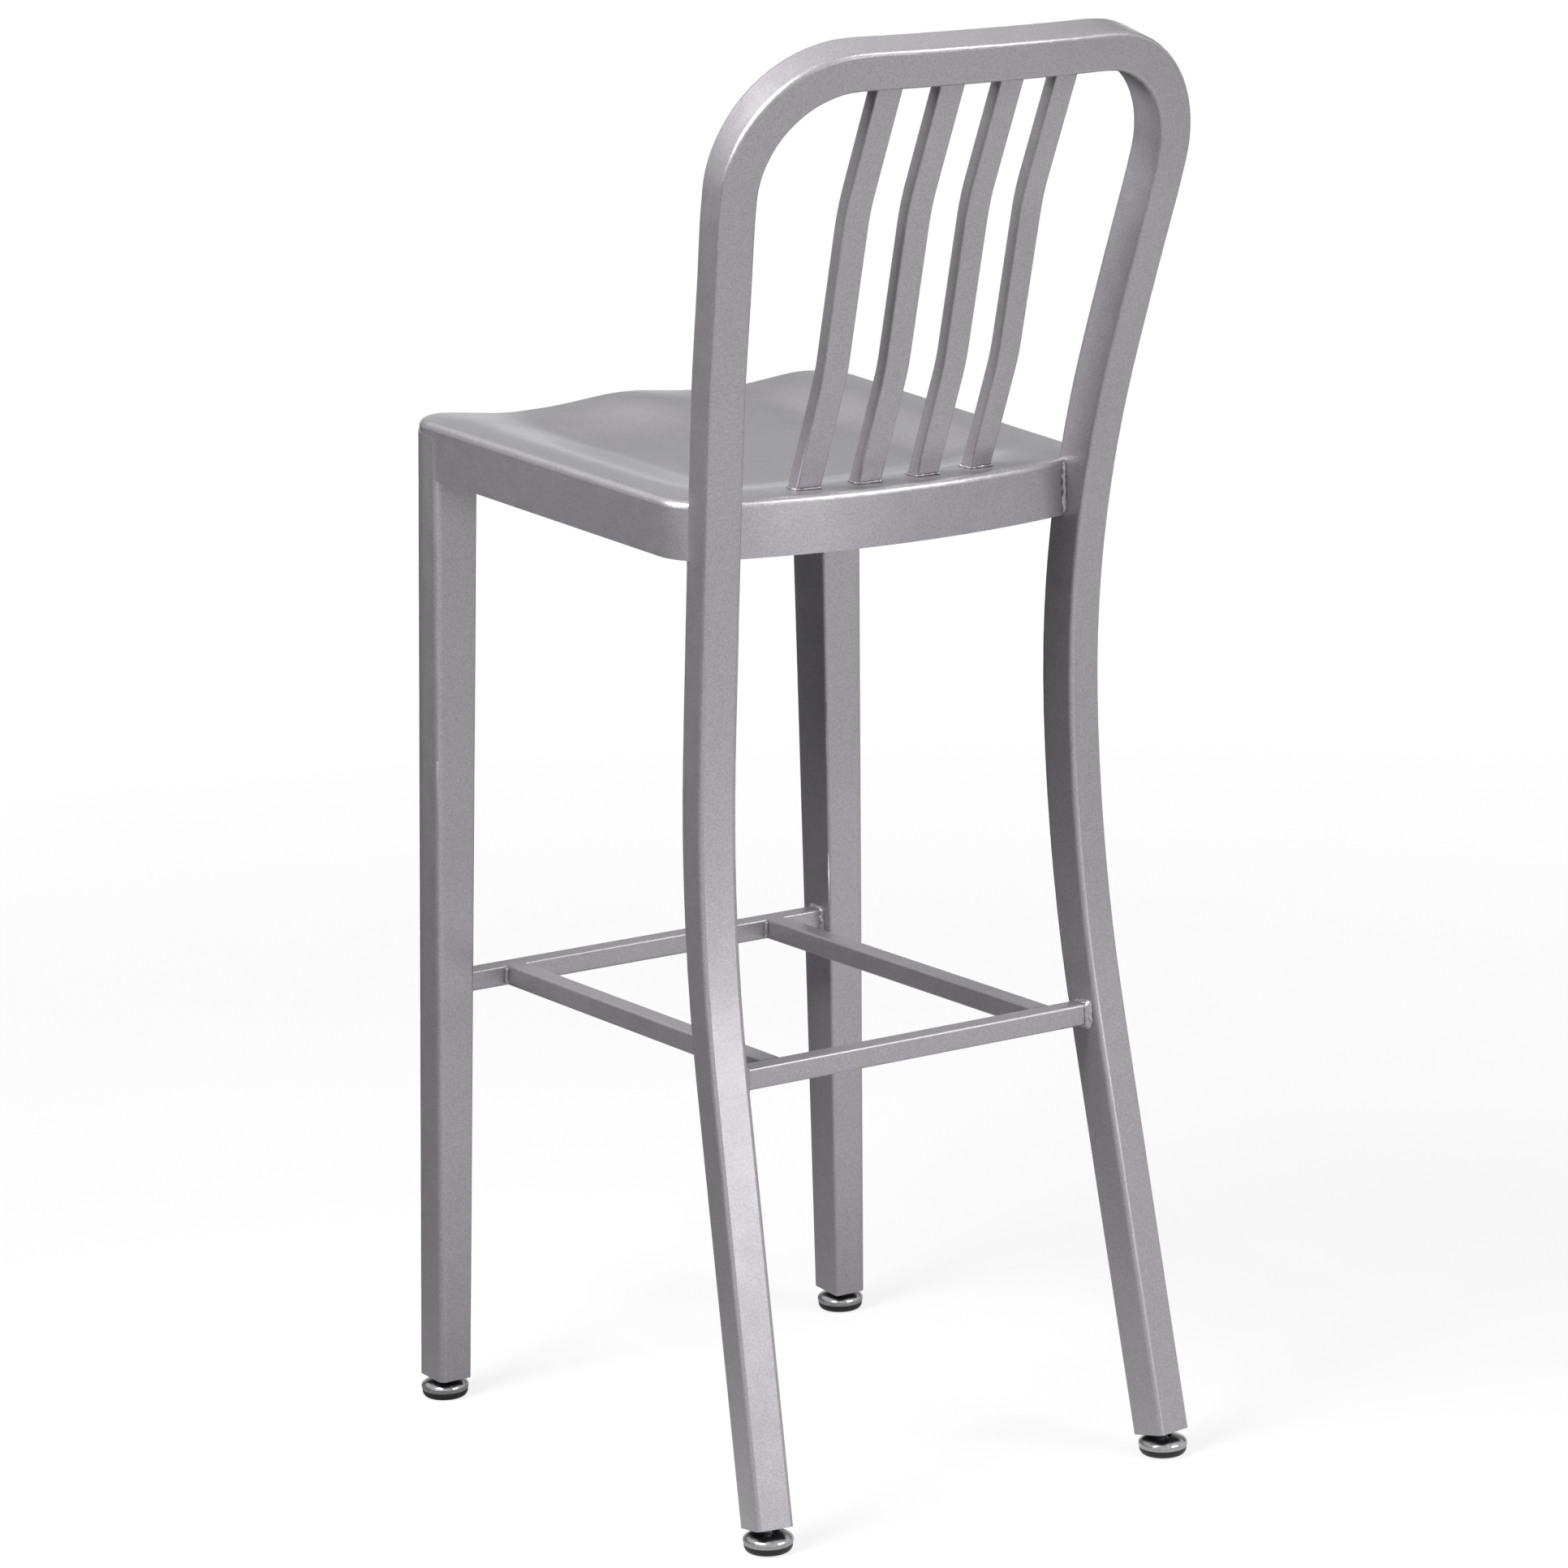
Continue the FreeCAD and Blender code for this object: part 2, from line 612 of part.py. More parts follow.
def cross_bar(y, blocks):
    outer = square_bar(V(-reach, y, BAR_Z), V(1, 0, 0), 2 * reach)
    core = square_bar(V(-reach - 1, y, BAR_Z), V(1, 0, 0), 2 * reach + 2, size=bar_inner, corner=inner_corner)
    for block in blocks:
        outer = outer.cut(block)
    outer = touching(outer, V(0, y, BAR_Z))
    return outer, outer.cut(core).Solids[0]


front_bar_solid, front_bar = cross_bar(front_bar_y, list(leg_outers.values()))
rear_bar_solid, rear_bar = cross_bar(rear_bar_y, [straight_leg, mirrored(straight_leg)])
side_start = front_bar_y + BAR_SIZE / 2
side_length = rear_bar_y - BAR_SIZE / 2 - side_start
side_bars = {}
side_solids = {}
for side, sx in (("left", 1), ("right", -1)):
    at = V(sx * SIDE_BAR_X, side_start, BAR_Z)
    side_solids[side] = square_bar(at, V(0, 1, 0), side_length)
    core = square_bar(at - V(0, 1, 0), V(0, 1, 0), side_length + 2, size=bar_inner, corner=inner_corner)
    side_bars[side] = side_solids[side].cut(core).Solids[0]


# Weld beads: a collar round the bar's end, cut off WELD_LEG away from the face it is welded to
def collar(axis, leg, face_point, keep_off):
    across = unit(V(0, 0, 1).cross(axis))
    wires = []
    for along, grow in ((-leg, WELD_TOE), (WELD_SINK, leg + WELD_SINK)):
        half = BAR_SIZE / 2 + grow
        corners = (BAR_CORNER + grow,) * 4
        wires.append(section(face_point + axis * along, across, V(0, 0, 1), half, half, corners))
    ring = Part.makeLoft(wires, True, True)
    ring = ring.cut(square_bar(face_point - axis * (leg + 1), axis, leg + WELD_SINK + 2))
    for block in keep_off:
        ring = ring.cut(block)
    return largest(ring)


def face_hit(solid, origin, axis):
    line = Part.makeLine(origin, origin + axis * 400)
    cut = solid.common(line)
    best = None
    for edge in cut.Edges:
        for vertex in edge.Vertexes:
            d = (vertex.Point - origin).dot(axis)
            if best is None or d < best[0]:
                best = (d, vertex.Point)
    point = best[1]
    near = min(solid.Faces, key=lambda f: f.distToShape(Part.Vertex(point))[0])
    u, v = near.Surface.parameter(point)
    normal = near.normalAt(u, v)
    if normal.dot(axis) > 0:
        normal = normal * -1
    return point, normal


stretcher_welds = []
for y, solid, cutter in ((front_bar_y, leg_outers["left"], leg_outers["left"]),
                         (rear_bar_y, straight_leg, tube_by_bar_fat)):
    point, normal = face_hit(solid, V(0, y, BAR_Z), V(1, 0, 0))
    bead = collar(V(1, 0, 0), WELD_LEG, point, [cutter])
    stretcher_welds += [bead, mirrored(bead)]
corner_welds = []
for y, sign in ((side_start, 1), (side_start + side_length, -1)):
    point = V(SIDE_BAR_X, y, BAR_Z)
    axis = V(0, sign, 0)
    ring = square_bar(point, axis, WELD_LEG, size=BAR_SIZE + 2 * WELD_LEG, corner=BAR_CORNER + WELD_LEG)
    ring = ring.cut(square_bar(point - axis, axis, WELD_LEG + 2))
    slab_low = V(SIDE_BAR_X - 100, y - 30, BAR_Z - BAR_SIZE / 2 + BAR_CORNER)
    slab = Part.makeBox(200, 60, BAR_SIZE - 2 * BAR_CORNER, slab_low)
    bead = [s for s in ring.common(slab).Solids if s.Volume > 1.0]
    corner_welds += bead + [mirrored(b) for b in bead]

slat_foot_welds = []
slat_head_welds = []
for x in left_slat_xs:
    turn = math.asin(x / BOW_RADIUS)
    path = slat_path(x)
    for at_head in (False, True):
        (y, z), lean = path[6] if at_head else path[1]
        up = V(0, math.sin(lean), math.cos(lean))
        axis = up * -1 if at_head else up
        block = tube_rail if at_head else seat_ledge
        hit, normal = face_hit(block, V(x, y, z), axis * -1)
        across = V(math.cos(turn), -math.sin(turn), 0)
        across = unit(across - axis * across.dot(axis))
        depth_dir = unit(axis.cross(across))
        half_width = SLAT_WIDTH / 2 + SLAT_WELD_LEG
        half_thick = SLAT_THICK / 2 + SLAT_WELD_LEG
        bead_corners = (SLAT_CORNER + SLAT_WELD_LEG,) * 4
        big = section(hit - axis * SLAT_SUNK, across, depth_dir, half_width, half_thick, bead_corners)
        ring = Part.Face(big).extrude(axis * 2 * SLAT_SUNK)
        ring = ring.cut(slat_bar(x, -WELD_CLEARANCE, True))
        ring = ring.cut(half_space(hit + normal * SLAT_WELD_LEG, normal))
        ring = ring.cut(tube_rail_fat if at_head else seat_ledge)
        ring = largest(ring)
        (slat_head_welds if at_head else slat_foot_welds).extend([ring, mirrored(ring)])


# Beads down the notches where the skirt meets the inner sides of the rear tubes
seat_rear_welds = []
z_low = rim_z(SEAT_REAR_Y - 20) - SKIRT_HEIGHT + 1.5
z_high = rim_z(SEAT_REAR_Y - 20) - SEAT_EDGE_ROUND
outer_skin = Part.Face(seat_outline(0.0, SEAT_REAR_Z - 150)).extrude(V(0, 0, 300))
inner_skin = Part.Face(seat_outline(SHEET, SEAT_REAR_Z - 150)).extrude(V(0, 0, 300))
outer_skin_fat = Part.Face(seat_outline(-WELD_CLEARANCE, SEAT_REAR_Z - 150)).extrude(V(0, 0, 300))
spots = []
for z in (z_low, z_high):
    centre, tangent, normal, across = tube_at(z)
    inner_side = centre + across * (TUBE_WIDTH / 2)
    side_line = Part.makeLine(inner_side - normal * 40, inner_side + normal * 40)
    spots.append(max((v.Point for v in outer_skin.common(side_line).Vertexes), key=lambda p: p.y))
run = spots[1] - spots[0]
bead = Part.makeCylinder(SEAT_WELD_RADIUS, run.Length, spots[0], run)
bead = largest(bead.cut(tube_by_seat_fat).cut(outer_skin_fat))
seat_rear_welds += [bead, mirrored(bead)]

# Ground-flush seams between skirt and front legs
seat_front_welds = []
seam_low = rim_half_space(-SKIRT_HEIGHT, False)
seam_high = rim_half_space(-LEG_TOP_DROP, True)
wall_ring = outer_skin.cut(inner_skin)
side_start_y = notch_rear_y - SIDE_SEAM_BACK
side_box = Part.makeBox(120, SIDE_SEAM_WIDTH, 300, V(notch_in_x + 10, side_start_y, SEAT_REAR_Z - 150))
front_start = V(notch_in_x - FRONT_SEAM_WIDTH / 2, SEAT_FRONT_Y - 10, SEAT_REAR_Z - 150)
front_box = Part.makeBox(FRONT_SEAM_WIDTH, 60, 300, front_start)
side_seam = wall_ring.common(side_box)
front_seam = wall_ring.common(front_box)
for seam in (side_seam, front_seam):
    seam = seam.cut(seam_low).cut(seam_high).cut(leg_outer).cut(seat_pan)
    for solid in seam.Solids:
        if solid.Volume > 15.0:
            seat_front_welds += [solid, mirrored(solid)]


# Feet
def turned(profile):
    pts = [V(r, 0, z) for r, z in profile]
    face = Part.Face(Part.makePolygon(pts + [pts[0]]))
    return face.revolve(V(0, 0, 0), V(0, 0, 1), 360)


def glide_parts():
    foot_flat = BASE_FOOT_RADIUS - 0.8
    base_line = [(0, 0)]
    for k in range(BASE_ROUND_STEPS + 1):
        a = math.pi / 2 * k / BASE_ROUND_STEPS
        r = foot_flat + (BASE_RIM_RADIUS - foot_flat) * math.sin(a)
        base_line.append((r, BASE_ROUND_Z * (1 - math.cos(a))))
    shoulder = [(BASE_RIM_RADIUS, BASE_SHOULDER_Z), (BOSS_RADIUS, BASE_SHOULDER_Z)]
    boss = [(BOSS_RADIUS, BOSS_TOP_Z), (0, BOSS_TOP_Z)]
    base = turned(base_line + shoulder + boss)
    base = largest(base.cut(Part.makeSphere(BALL_RADIUS + BALL_GAP, V(0, 0, BALL_Z))))
    cap_line = [(BOSS_RADIUS, CAP_RIM_LOW_Z), (BASE_RIM_RADIUS, CAP_RIM_LOW_Z)]
    cap_line.append((CAP_RIM_RADIUS, CAP_RIM_MID_Z))
    for k in range(DOME_STEPS + 1):
        a = math.pi / 2 * k / DOME_STEPS
        r = CAP_HOLE_RADIUS + (CAP_RIM_RADIUS - CAP_HOLE_RADIUS) * math.cos(a)
        z = CAP_RIM_HIGH_Z + (CAP_TOP_Z - CAP_RIM_HIGH_Z) * math.sin(a)
        cap_line.append((r, z))
    hole = [(CAP_HOLE_RADIUS, BOSS_TOP_Z), (BOSS_RADIUS, BOSS_TOP_Z)]
    return base, turned(cap_line + hole)


def foot_set(foot, up, bore):
    lift = (foot.z - BALL_Z) / up.z
    ball = foot - up * lift
    base, cap = glide_parts()
    move = V(ball.x, ball.y, 0)
    base.translate(move)
    cap.translate(move)
    stud = Part.makeSphere(BALL_RADIUS, ball)
    stud = stud.fuse(Part.makeCylinder(NECK_RADIUS, lift + 2.0, ball, up))
    stud = stud.fuse(Part.makeCylinder(STUD_RADIUS, STUD_LENGTH - lift - 1.0, ball + up * (lift + 1.0), up))
    stud = stud.removeSplitter()
    sleeve = Part.makeCylinder(SLEEVE_RADIUS, SLEEVE_LENGTH, foot, up)
    sleeve = sleeve.cut(Part.makeCylinder(STUD_RADIUS + THREAD_GAP, SLEEVE_LENGTH + 2, foot - up, up))
    plug = bore.cut(half_space(foot, up * -1)).cut(half_space(foot + up * PLUG_LENGTH, up))
    plug = touching(plug, foot + up * (PLUG_LENGTH / 2))
    plug = plug.cut(Part.makeCylinder(SLEEVE_RADIUS, SLEEVE_LENGTH + 1, foot - up, up))
    plug = plug.cut(Part.makeCylinder(STUD_RADIUS + 0.6, PLUG_LENGTH + 2, foot - up, up))
    inside = {"plug": largest(plug), "sleeve": largest(sleeve), "stud": largest(stud)}
    return {**inside, "glide_cap": cap, "glide_base": base}, ball


nodes = {"back_frame": back_frame, "seat_pan": seat_pan}
for k, slat in enumerate(slats):
    nodes["slat_%d" % (k + 1)] = slat
for side in ("left", "right"):
    nodes["front_leg_" + side] = front_legs[side]
    nodes["stretcher_" + side] = side_bars[side]
nodes["stretcher_front"] = front_bar
nodes["stretcher_rear"] = rear_bar
nodes["weld_stretcher_legs"] = Part.makeCompound(stretcher_welds)
nodes["weld_stretcher_corners"] = Part.makeCompound(corner_welds)
nodes["weld_slat_feet"] = Part.makeCompound(slat_foot_welds)
nodes["weld_slat_heads"] = Part.makeCompound(slat_head_welds)
nodes["weld_seat_rear"] = Part.makeCompound(seat_rear_welds)
nodes["weld_seat_front"] = Part.makeCompound(seat_front_welds)
balls = {}
ends = (("front", front_foot, front_up, leg_inner), ("rear", rear_foot, rear_up, straight_bore))
for name, foot, up, bore in ends:
    pieces, ball = foot_set(foot, up, bore)
    balls[name] = (ball, up)
    for kind, shape in pieces.items():
        nodes["%s_%s_left" % (kind, name)] = shape
        nodes["%s_%s_right" % (kind, name)] = mirrored(shape)

# Origin at the bottom centre of the whole stool
box = FreeCAD.BoundBox()
for shape in nodes.values():
    box.add(shape.optimalBoundingBox(True, False))
shift = V(-box.Center.x, -box.Center.y, -box.ZMin)
os.makedirs("parts", exist_ok=True)
for name, shape in nodes.items():
    moved = shape.copy()
    moved.translate(shift)
    moved.exportStep("parts/%s.step" % name)

print("bounds", [round(v, 3) for v in (box.XLength, box.YLength, box.ZLength)])
print("shift", [round(v, 4) for v in shift])
for name, (ball, up) in balls.items():
    print("ball", name, [round(v, 4) for v in ball + shift], "axis", [round(v, 6) for v in up])
for name, shape in nodes.items():
    print(name, "solids", len(shape.Solids), "valid", shape.isValid(), "volume", round(shape.Volume, 1))
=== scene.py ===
import json
import math

import bmesh
import bpy
from mathutils import Matrix, Vector


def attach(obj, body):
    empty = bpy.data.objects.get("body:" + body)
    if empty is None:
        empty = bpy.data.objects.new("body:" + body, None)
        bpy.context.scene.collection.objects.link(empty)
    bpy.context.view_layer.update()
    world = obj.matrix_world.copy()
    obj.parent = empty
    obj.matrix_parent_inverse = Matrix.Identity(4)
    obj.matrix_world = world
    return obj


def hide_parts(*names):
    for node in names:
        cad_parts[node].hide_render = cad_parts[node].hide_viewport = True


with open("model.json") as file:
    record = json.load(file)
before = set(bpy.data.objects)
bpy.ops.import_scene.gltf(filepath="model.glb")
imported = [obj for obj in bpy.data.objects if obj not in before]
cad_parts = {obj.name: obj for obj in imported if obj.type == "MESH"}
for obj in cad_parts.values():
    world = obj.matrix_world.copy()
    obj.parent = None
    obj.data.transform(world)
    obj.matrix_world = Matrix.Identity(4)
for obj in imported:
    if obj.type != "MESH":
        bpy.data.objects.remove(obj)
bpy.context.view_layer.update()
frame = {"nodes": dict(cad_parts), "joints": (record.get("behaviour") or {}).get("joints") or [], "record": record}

scene = bpy.context.scene
nodes = frame["nodes"]
CORNERS = [(end, side) for end in ("front", "rear") for side in ("left", "right")]
WHITE = (1, 1, 1, 1)


# Small helpers for node trees
def new_material(name):
    material = bpy.data.materials.new(name)
    material.use_nodes = True
    tree = material.node_tree
    shader = tree.nodes["Principled BSDF"]
    return material, tree, shader


def add(tree, kind, **values):
    node = tree.nodes.new(kind)
    for key, value in values.items():
        if key in node.inputs:
            node.inputs[key].default_value = value
        else:
            setattr(node, key, value)
    return node


def noise(tree, coords, scale, detail=2.0):
    node = add(tree, "ShaderNodeTexNoise", Scale=scale, Detail=detail)
    tree.links.new(coords, node.inputs["Vector"])
    return node.outputs["Fac"]


def ramp(tree, value, stops):
    node = tree.nodes.new("ShaderNodeValToRGB")
    for point, (place, colour) in zip(node.color_ramp.elements, stops):
        point.position = place
        point.color = (*colour, 1.0)
    tree.links.new(value, node.inputs["Fac"])
    return node.outputs["Color"]


def to_range(tree, value, low, high, from_low=0.0, from_high=1.0):
    node = tree.nodes.new("ShaderNodeMapRange")
    node.inputs["From Min"].default_value = from_low
    node.inputs["From Max"].default_value = from_high
    node.inputs["To Min"].default_value = low
    node.inputs["To Max"].default_value = high
    tree.links.new(value, node.inputs["Value"])
    return node.outputs["Result"]


def bump(tree, height, strength, distance, before=None):
    node = add(tree, "ShaderNodeBump", Strength=strength, Distance=distance)
    tree.links.new(height, node.inputs["Height"])
    if before is not None:
        tree.links.new(before, node.inputs["Normal"])
    return node.outputs["Normal"]


def object_coords(tree):
    return tree.nodes.new("ShaderNodeTexCoord").outputs["Object"]


# Satin silver coating: fine metal flakes, faint orange peel, slow changes of tone
FLAKE_SCALE = 1500.0
FLAKE_SHARE = 0.65
FLAKE_BUMP = 0.03
FLAKE_HEIGHT = 0.0002
CLOUD_SCALE = 9.0
CLOUD_SHARE = 0.35
GLOSS_SCALE = 60.0
GLOSS_SPREAD = 0.03
GLOSS_SPAN = (0.3, 0.7)
PEEL_SCALE = 420.0
PEEL_BUMP = 0.03
PEEL_HEIGHT = 0.0003
SILVER_METALLIC = 0.7
SILVER_COAT = 0.6
SILVER_COAT_ROUGHNESS = 0.2


def silver(name, dark, light, roughness, peel_bump=PEEL_BUMP):
    material, tree, shader = new_material(name)
    coords = object_coords(tree)
    flakes = add(tree, "ShaderNodeTexVoronoi", Scale=FLAKE_SCALE)
    tree.links.new(coords, flakes.inputs["Vector"])
    flake_value = tree.nodes.new("ShaderNodeSeparateColor")
    tree.links.new(flakes.outputs["Color"], flake_value.inputs["Color"])
    blend = add(tree, "ShaderNodeMath", operation="MULTIPLY_ADD")
    tree.links.new(noise(tree, coords, CLOUD_SCALE, detail=3.0), blend.inputs[0])
    blend.inputs[1].default_value = CLOUD_SHARE
    tree.links.new(to_range(tree, flake_value.outputs["Red"], 0.0, FLAKE_SHARE), blend.inputs[2])
    colour = ramp(tree, blend.outputs["Value"], [(0.0, dark), (1.0, light)])
    tree.links.new(colour, shader.inputs["Base Color"])
    gloss = noise(tree, coords, GLOSS_SCALE, detail=3.0)
    rough = to_range(tree, gloss, roughness - GLOSS_SPREAD, roughness + GLOSS_SPREAD, *GLOSS_SPAN)
    tree.links.new(rough, shader.inputs["Roughness"])
    peel = bump(tree, noise(tree, coords, PEEL_SCALE, detail=1.0), peel_bump, PEEL_HEIGHT)
    normal = bump(tree, flake_value.outputs["Green"], FLAKE_BUMP, FLAKE_HEIGHT, before=peel)
    tree.links.new(normal, shader.inputs["Normal"])
    shader.inputs["Metallic"].default_value = SILVER_METALLIC
    shader.inputs["Coat Weight"].default_value = SILVER_COAT
    shader.inputs["Coat Roughness"].default_value = SILVER_COAT_ROUGHNESS
    return material


# Plated steel of the studs and sleeves
STEEL_TONES = [(0.25, (0.34, 0.34, 0.35)), (0.75, (0.55, 0.55, 0.57))]
STEEL_TONE_SCALE = 700.0
STEEL_ROUGH = (0.22, 0.42)
STEEL_ROUGH_SCALE = 260.0


def plated_steel(name):
    material, tree, shader = new_material(name)
    coords = object_coords(tree)
    tone = ramp(tree, noise(tree, coords, STEEL_TONE_SCALE, detail=4.0), STEEL_TONES)
    tree.links.new(tone, shader.inputs["Base Color"])
    rough = to_range(tree, noise(tree, coords, STEEL_ROUGH_SCALE, detail=3.0), *STEEL_ROUGH)
    tree.links.new(rough, shader.inputs["Roughness"])
    shader.inputs["Metallic"].default_value = 1.0
    return material


# Dark chrome of the glide caps, with fine rubbing marks
CHROME_TONES = [(0.2, (0.36, 0.36, 0.37)), (0.8, (0.52, 0.52, 0.53))]
CHROME_HAZE_SCALE = 320.0
CHROME_ROUGH = (0.12, 0.26)
CHROME_ROUGH_SPAN = (0.3, 0.75)
RUB_SCALE = 1800.0
RUB_BUMP = 0.03
RUB_HEIGHT = 0.0001


def chrome(name):
    material, tree, shader = new_material(name)
    coords = object_coords(tree)
    haze = noise(tree, coords, CHROME_HAZE_SCALE, detail=4.0)
    tree.links.new(ramp(tree, haze, CHROME_TONES), shader.inputs["Base Color"])
    tree.links.new(to_range(tree, haze, *CHROME_ROUGH, *CHROME_ROUGH_SPAN), shader.inputs["Roughness"])
    rubbing = bump(tree, noise(tree, coords, RUB_SCALE), RUB_BUMP, RUB_HEIGHT)
    tree.links.new(rubbing, shader.inputs["Normal"])
    shader.inputs["Metallic"].default_value = 1.0
    return material


# Black moulded plastic
GRAIN_SCALE = 900.0
GRAIN_SPAN = (0.2, 0.85)
GRAIN_LOW = 0.7
GRAIN_HIGH = 1.5
GRAIN_BUMP = 0.12
GRAIN_HEIGHT = 0.0003
MOULD_SCALE = 140.0
MOULD_ROUGH = (-0.08, 0.1)


def black_plastic(name, grey, roughness):
    material, tree, shader = new_material(name)
    coords = object_coords(tree)
    grain = noise(tree, coords, GRAIN_SCALE, detail=3.0)
    low, high = ((grey * share,) * 3 for share in (GRAIN_LOW, GRAIN_HIGH))
    tree.links.new(ramp(tree, grain, list(zip(GRAIN_SPAN, (low, high)))), shader.inputs["Base Color"])
    smoothest, roughest = (roughness + change for change in MOULD_ROUGH)
    rough = to_range(tree, noise(tree, coords, MOULD_SCALE, detail=3.0), smoothest, roughest)
    tree.links.new(rough, shader.inputs["Roughness"])
    tree.links.new(bump(tree, grain, GRAIN_BUMP, GRAIN_HEIGHT), shader.inputs["Normal"])
    return material


silver_frame = silver("silver_coating", dark=(0.285, 0.271, 0.289), light=(0.445, 0.427, 0.454),
                      roughness=0.4)
silver_seat = silver("silver_seat", dark=(0.292, 0.281, 0.3), light=(0.452, 0.438, 0.465),
                     roughness=0.36, peel_bump=0.01)
silver_weld = silver("silver_weld", dark=(0.30, 0.288, 0.304), light=(0.46, 0.443, 0.468),
                     roughness=0.42)
glide_chrome = chrome("glide_chrome")
glide_black = black_plastic("glide_black", grey=0.008, roughness=0.38)
plug_black = black_plastic("plug_black", grey=0.04, roughness=0.55)
steel = plated_steel("plated_steel")

# The seat has its own smoother silver; every other node takes the finish of its slot
FINISH = {
    "frame_metal": silver_frame,
    "weld_metal": silver_weld,
    "plug_plastic": plug_black,
    "sleeve_steel": steel,
    "stud_steel": steel,
    "glide_chrome": glide_chrome,
    "glide_plastic": glide_black,
}
for entry in frame["record"]["subparts"]:
    mesh = nodes[entry["node"]].data
    mesh.materials.clear()
    finish = silver_seat if entry["node"] == "seat_pan" else FINISH[entry["material_slot"]]
    mesh.materials.append(finish)


# Weld beads: the plain fillets are softened and made lumpy; the seams ground flush stay as they are
BEAD_VOXEL = 0.00045
BEAD_SOFTEN = 0.5
BEAD_PASSES = 9
BEAD_LUMP_SIZE = 0.004
BEAD_LUMP_HEIGHT = 0.0018
BEAD_LUMP_LEVEL = 0.44
UPRIGHT_BEAD = "weld_seat_rear"
UPRIGHT_PASSES = 4
UPRIGHT_LUMP_HEIGHT = 0.0026
GROUND_FLUSH = "weld_seat_front"

bead_texture = bpy.data.textures.new("bead_lumps", "CLOUDS")
bead_texture.noise_scale = BEAD_LUMP_SIZE
for name in sorted(nodes):
    if name.startswith("weld_") and name != GROUND_FLUSH:
        bead = nodes[name]
        remesh = bead.modifiers.new("bead_mesh", "REMESH")
        remesh.mode = "VOXEL"
        remesh.voxel_size = BEAD_VOXEL
        remesh.use_smooth_shade = True
        soften = bead.modifiers.new("bead_soften", "SMOOTH")
        soften.factor = BEAD_SOFTEN
        soften.iterations = UPRIGHT_PASSES if name == UPRIGHT_BEAD else BEAD_PASSES
        lumps = bead.modifiers.new("bead_lumps", "DISPLACE")
        lumps.texture = bead_texture
        lumps.texture_coords = "LOCAL"
        lumps.strength = UPRIGHT_LUMP_HEIGHT if name == UPRIGHT_BEAD else BEAD_LUMP_HEIGHT
        lumps.mid_level = BEAD_LUMP_LEVEL


# Levelling studs with their ball end, neck and thread; lengths run up from the ball's centre
BALL_R = 0.006
BALL_STEPS = 16
NECK_R = 0.0032
NECK_END = 0.0097
NECK_CHAMFER = 0.0006
THREAD_R = 0.004
THREAD_DEPTH = 0.00055
THREAD_PITCH = 0.00125
THREAD_STEPS = 8
THREAD_FADE = 0.0008
STUD_END = 0.046
STUD_SIDES = 32


def thread_radius(s, turn):
    wave = abs(((s - NECK_END) / THREAD_PITCH - turn) % 1.0 - 0.5) * 2.0
    fade = min(1.0, max(0.0, (STUD_END - s) / THREAD_FADE))
    return THREAD_R - THREAD_DEPTH * (1.0 - wave * fade)


# Each row is a place along the stud and its radius, which is None on the thread
def stud_rows():
    rows = []
    ball_sweep = math.pi / 2 + math.acos(NECK_R / BALL_R)
    for k in range(1, BALL_STEPS + 1):
        a = ball_sweep * k / BALL_STEPS - math.pi / 2
        rows.append((BALL_R * math.sin(a), BALL_R * math.cos(a)))
    rows.append((NECK_END - NECK_CHAMFER, NECK_R))
    steps = int((STUD_END - NECK_END) / (THREAD_PITCH / THREAD_STEPS))
    for k in range(steps + 1):
        rows.append((NECK_END + (STUD_END - NECK_END) * k / steps, None))
    return rows


def build_stud(tag, ball, up):
    side = up.cross(Vector((0, 1, 0))).normalized()
    front = up.cross(side)
    builder = bmesh.new()
    rings = []
    for s, radius in stud_rows():
        ring = []
        for i in range(STUD_SIDES):
            turn = i / STUD_SIDES
            r = thread_radius(s, turn) if radius is None else radius
            a = 2 * math.pi * turn
            outward = side * (r * math.cos(a)) + front * (r * math.sin(a))
            ring.append(builder.verts.new(ball + up * s + outward))
        rings.append(ring)
    for low, high in zip(rings, rings[1:]):
        for i in range(STUD_SIDES):
            j = (i + 1) % STUD_SIDES
            builder.faces.new((low[i], low[j], high[j], high[i]))
    builder.faces.new(rings[0][::-1])
    builder.faces.new(rings[-1])
    bmesh.ops.recalc_face_normals(builder, faces=builder.faces)
    mesh = bpy.data.meshes.new("threaded_stud_" + tag)
    builder.to_mesh(mesh)
    builder.free()
    mesh.shade_smooth()
    mesh.materials.append(steel)
    stud = bpy.data.objects.new("threaded_stud_" + tag, mesh)
    scene.collection.objects.link(stud)
    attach(stud, "stud_" + tag)
    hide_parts("stud_" + tag)


joint_by_name = {joint["name"]: joint for joint in frame["joints"]}
for end, side_name in CORNERS:
    foot_tag = end + "_" + side_name
    stud_up = -Vector(joint_by_name["level_" + foot_tag]["axis"]).normalized()
    build_stud(foot_tag, Vector(joint_by_name["tilt_" + foot_tag]["pos_m"]), stud_up)


# Camera fitted to the photograph: lens, place and a slight roll
IMAGE_SIZE = 1932.0
FOCAL_PX = 7001.9
SENSOR_MM = 36.0
CAM_AZ = math.radians(147.106)
CAM_EL = math.radians(12.192)
CAM_ROLL = math.radians(-1.43)
CAM_DIST = 4.1783
CAM_TARGET = Vector((0.022339, 0.006328, 0.504828))
CAM_CLIP_END = 100.0

